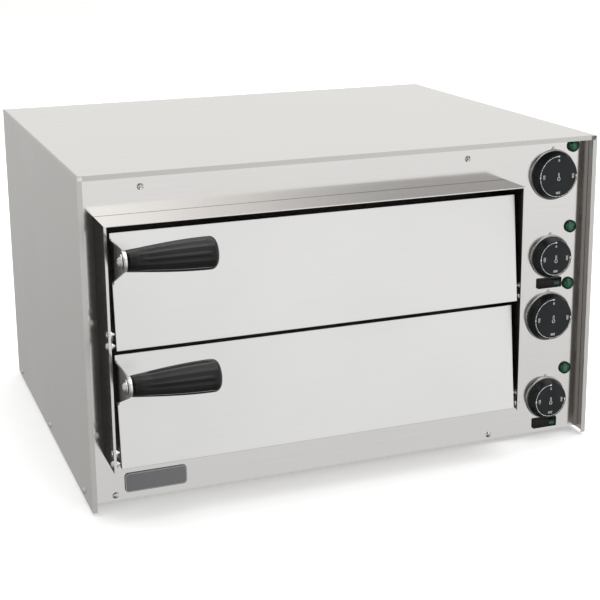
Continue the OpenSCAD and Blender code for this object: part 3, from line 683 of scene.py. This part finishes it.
def make_bezels():
    """Thin bright rings with a small pointer at the top of each."""
    whole = bmesh.new()
    ring_low, ring_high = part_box("knob_bezels")
    depth = ring_high.y - ring_low.y
    for number in range(1, 5):
        low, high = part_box(f"knob_{number}")
        radius = (high.x - low.x) / 2 + 1.2 * MM
        place = facing_front(Vector(((low.x + high.x) / 2, ring_high.y, (low.z + high.z) / 2)))
        profile = [(radius - 3.4 * MM, 0), (radius, 0)]
        profile += arc((radius - 0.5 * MM, 0.55 * depth), 0.5 * MM, 0, 62, 5)
        profile += arc((radius - 1.6 * MM, depth - 0.25 * MM), 0.25 * MM, 60, 120, 3)
        profile += [(radius - 3.4 * MM, 0.5 * depth), (radius - 3.4 * MM, 0)]
        part = lathe(profile, place, 128)
        bmesh.ops.remove_doubles(part, verts=part.verts, dist=1e-7)
        tip = radius + 2.9 * MM
        foot = radius - 0.8 * MM
        pointer = [(-2.7 * MM, foot), (2.7 * MM, foot), (0.4 * MM, tip), (-0.4 * MM, tip)]
        slab(part, pointer, 0.7 * MM, place)
        data = bpy.data.meshes.new("ring")
        part.to_mesh(data)
        part.free()
        whole.from_mesh(data)
        bpy.data.meshes.remove(data)
    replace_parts(add_piece("knob_rings", whole, BEZEL, "root", 35), "knob_bezels")


make_bezels()


# ---------- pilot lamps ----------

def make_lens(index, box):
    """Domed lens cut into rows of diamond facets."""
    centre = middle(box)
    radius = (box[1].x - box[0].x) / 2
    rise = box[1].y - box[0].y
    mesh = bmesh.new()
    place = facing_front(Vector((centre.x, box[1].y, centre.z)))
    rings, around = 5, 12
    rows = []
    for ring in range(rings):
        angle = math.radians(90 * ring / rings)
        r = radius * math.cos(angle)
        height = rise * math.sin(angle) * 0.98
        turn = math.pi / around * (ring % 2)
        rows.append([mesh.verts.new(place @ Vector((r * math.cos(2 * math.pi * i / around + turn),
                                                    r * math.sin(2 * math.pi * i / around + turn), height)))
                     for i in range(around)])
    for ring, (a, b) in enumerate(zip(rows, rows[1:])):
        for i in range(around):
            j = (i + 1) % around
            if ring % 2 == 0:
                mesh.faces.new((a[i], a[j], b[i]))
                mesh.faces.new((a[j], b[j], b[i]))
            else:
                mesh.faces.new((a[i], a[j], b[j]))
                mesh.faces.new((a[i], b[j], b[i]))
    tip = mesh.verts.new(place @ Vector((0, 0, rise)))
    for i in range(around):
        mesh.faces.new((rows[-1][i], rows[-1][(i + 1) % around], tip))
    mesh.faces.new(rows[0][::-1])
    return add_piece(f"lamp_lens_{index}", mesh, GREEN, "root", 5)


lenses = [make_lens(i + 1, box) for i, box in enumerate(solids("lamp_lenses"))]
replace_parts(lenses[0], "lamp_lenses")


# ---------- rocker switches ----------

def make_rocker(deck):
    """Rocker with eased edges and a small green window in its right half."""
    node = f"{deck}_rocker"
    mesh = flat_faced_mesh(node)
    centre = middle(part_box(node))
    fronts = [f for f in mesh.faces if f.normal.y < -0.9 and f.calc_center_median().x > centre.x]
    front = max(fronts, key=lambda f: f.calc_area())
    spot, normal = front.calc_center_median(), front.normal.copy()
    round_edges(mesh, 0.3 * MM, 60)
    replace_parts(add_piece(f"{deck}_rocker_key", mesh, SWITCH, node), node)
    across = Vector((1, 0, 0))
    across = (across - normal * across.dot(normal)).normalized()
    up = normal.cross(across)
    turn = Matrix((across, up, normal)).transposed().to_4x4()
    window = bmesh.new()
    outline = rounded_rectangle(2.9 * MM, 1.7 * MM, 1.1 * MM, 5)
    slab(window, outline, 0.7 * MM, Matrix.Translation(spot - normal * 0.4 * MM) @ turn)
    round_edges(window, 0.2 * MM, 60)
    add_piece(f"{deck}_rocker_window", window, GREEN, node, 40)


for deck in ("lower", "upper"):
    make_rocker(deck)
bevelled("switch_housings", SWITCH, 0.3 * MM)


# ---------- camera, light and floor ----------

LENS = 80.5
SHIFT = -0.12
CAMERA_PLACE = (-0.5032, -1.3782, 0.5780)
CAMERA_AIM = (-0.0586, -0.1895, 0.2665)
CAMERA_ROLL = -0.57  # degrees


def make_camera():
    data = bpy.data.cameras.new("camera")
    data.lens = LENS
    data.sensor_width = 36.0
    data.shift_y = SHIFT
    data.clip_end = 20.0
    camera = bpy.data.objects.new("camera", data)
    bpy.context.scene.collection.objects.link(camera)
    place = Vector(CAMERA_PLACE)
    aim = Vector(CAMERA_AIM)
    roll = math.radians(CAMERA_ROLL)
    camera.location = place
    camera.rotation_mode = "QUATERNION"
    camera.rotation_quaternion = (aim - place).to_track_quat("-Z", "Y") @ Quaternion((0, 0, 1), roll)
    bpy.context.scene.camera = camera


def make_world():
    """White studio: bright all round, dimmer to the left and low down, plain white behind the object."""
    world = bpy.data.worlds.new("studio")
    world.use_nodes = True
    bpy.context.scene.world = world
    tree = world.node_tree
    background = tree.nodes["Background"]
    coordinates = tree.nodes.new("ShaderNodeTexCoord")
    parts = tree.nodes.new("ShaderNodeSeparateXYZ")
    tree.links.new(coordinates.outputs["Generated"], parts.inputs["Vector"])

    def ramp(source, low, high, to_low, to_high):
        made = tree.nodes.new("ShaderNodeMapRange")
        made.interpolation_type = "SMOOTHSTEP"
        for name, value in (("From Min", low), ("From Max", high), ("To Min", to_low), ("To Max", to_high)):
            made.inputs[name].default_value = value
        tree.links.new(source, made.inputs["Value"])
        return made.outputs["Result"]

    def math_node(operation, first, second):
        made = tree.nodes.new("ShaderNodeMath")
        made.operation = operation
        for socket, value in zip(made.inputs, (first, second)):
            if isinstance(value, float):
                socket.default_value = value
            else:
                tree.links.new(value, socket)
        return made.outputs["Value"]

    x, y, z = parts.outputs["X"], parts.outputs["Y"], parts.outputs["Z"]
    # the half behind the object dims to the left, and the half ahead has a dark band at its left
    behind = ramp(x, -0.12, 0.10, 0.66, 1.0)
    outer = ramp(x, -0.56, -0.38, 0.62, 0.03)
    ahead = math_node("MAXIMUM", outer, ramp(x, -0.15, 0.13, 0.0, 1.0))
    share = ramp(y, -0.35, 0.45, 0.0, 1.0)
    side = math_node("ADD", math_node("MULTIPLY", behind, share),
                     math_node("MULTIPLY", ahead, math_node("SUBTRACT", 1.0, share)))
    # dimmer below the horizon
    low = ramp(z, -0.45, -0.02, 0.74, 1.0)
    under = ramp(z, -0.85, -0.40, 0.35, 1.0)
    level = math_node("MULTIPLY", math_node("MULTIPLY", side, low), under)
    # just above the horizon ahead, brighter at the left and darker at the right
    raised = math_node("MULTIPLY", ramp(z, 0.0, 0.14, 0.0, 1.0), ramp(z, 0.36, 0.55, 1.0, 0.0))
    raised = math_node("MULTIPLY", raised, ramp(y, -0.75, -0.45, 1.0, 0.0))
    shade = math_node("MULTIPLY", raised, ramp(x, 0.16, 0.44, -0.35, 0.55))
    level = math_node("MULTIPLY", level, math_node("SUBTRACT", 1.0, shade))
    # brighter overhead, and plain white to the camera itself
    level = math_node("MULTIPLY", level, ramp(z, 0.58, 0.88, 1.0, 2.2))
    path = tree.nodes.new("ShaderNodeLightPath")
    seen = math_node("MAXIMUM", level, path.outputs["Is Camera Ray"])
    tree.links.new(seen, background.inputs["Strength"])
    background.inputs["Color"].default_value = (1.0, 0.995, 0.985, 1.0)


def add_softbox(name, place, aim, size, energy):
    """Wide lamp that is not mirrored by the metal."""
    data = bpy.data.lights.new(name, "AREA")
    data.shape = "RECTANGLE"
    data.size, data.size_y = size
    data.energy = energy
    light = bpy.data.objects.new(name, data)
    bpy.context.scene.collection.objects.link(light)
    light.location = place
    light.rotation_mode = "QUATERNION"
    light.rotation_quaternion = (Vector(aim) - Vector(place)).to_track_quat("-Z", "Y")
    light.visible_glossy = False


def make_floor():
    """Plain pale floor, not mirrored by the metal."""
    mesh = bmesh.new()
    bmesh.ops.create_grid(mesh, x_segments=1, y_segments=1, size=6.0)
    data = bpy.data.meshes.new("floor")
    mesh.to_mesh(data)
    mesh.free()
    floor = bpy.data.objects.new("floor", data)
    bpy.context.scene.collection.objects.link(floor)
    shader = Shader("floor_white")
    shader.set(Base_Color=(0.93, 0.93, 0.93, 1.0), Roughness=0.9, Specular_IOR_Level=0.0)
    shader.set(Emission_Color=(1.0, 1.0, 1.0, 1.0), Emission_Strength=0.35)
    data.materials.append(shader.material)
    floor.visible_glossy = False


make_camera()
make_world()
make_floor()
middle_point = middle(cad_box)
add_softbox("overhead", (-0.1, -0.2, 1.9), middle_point, (1.6, 1.2), 6.0)
bpy.context.scene.view_settings.view_transform = "Standard"
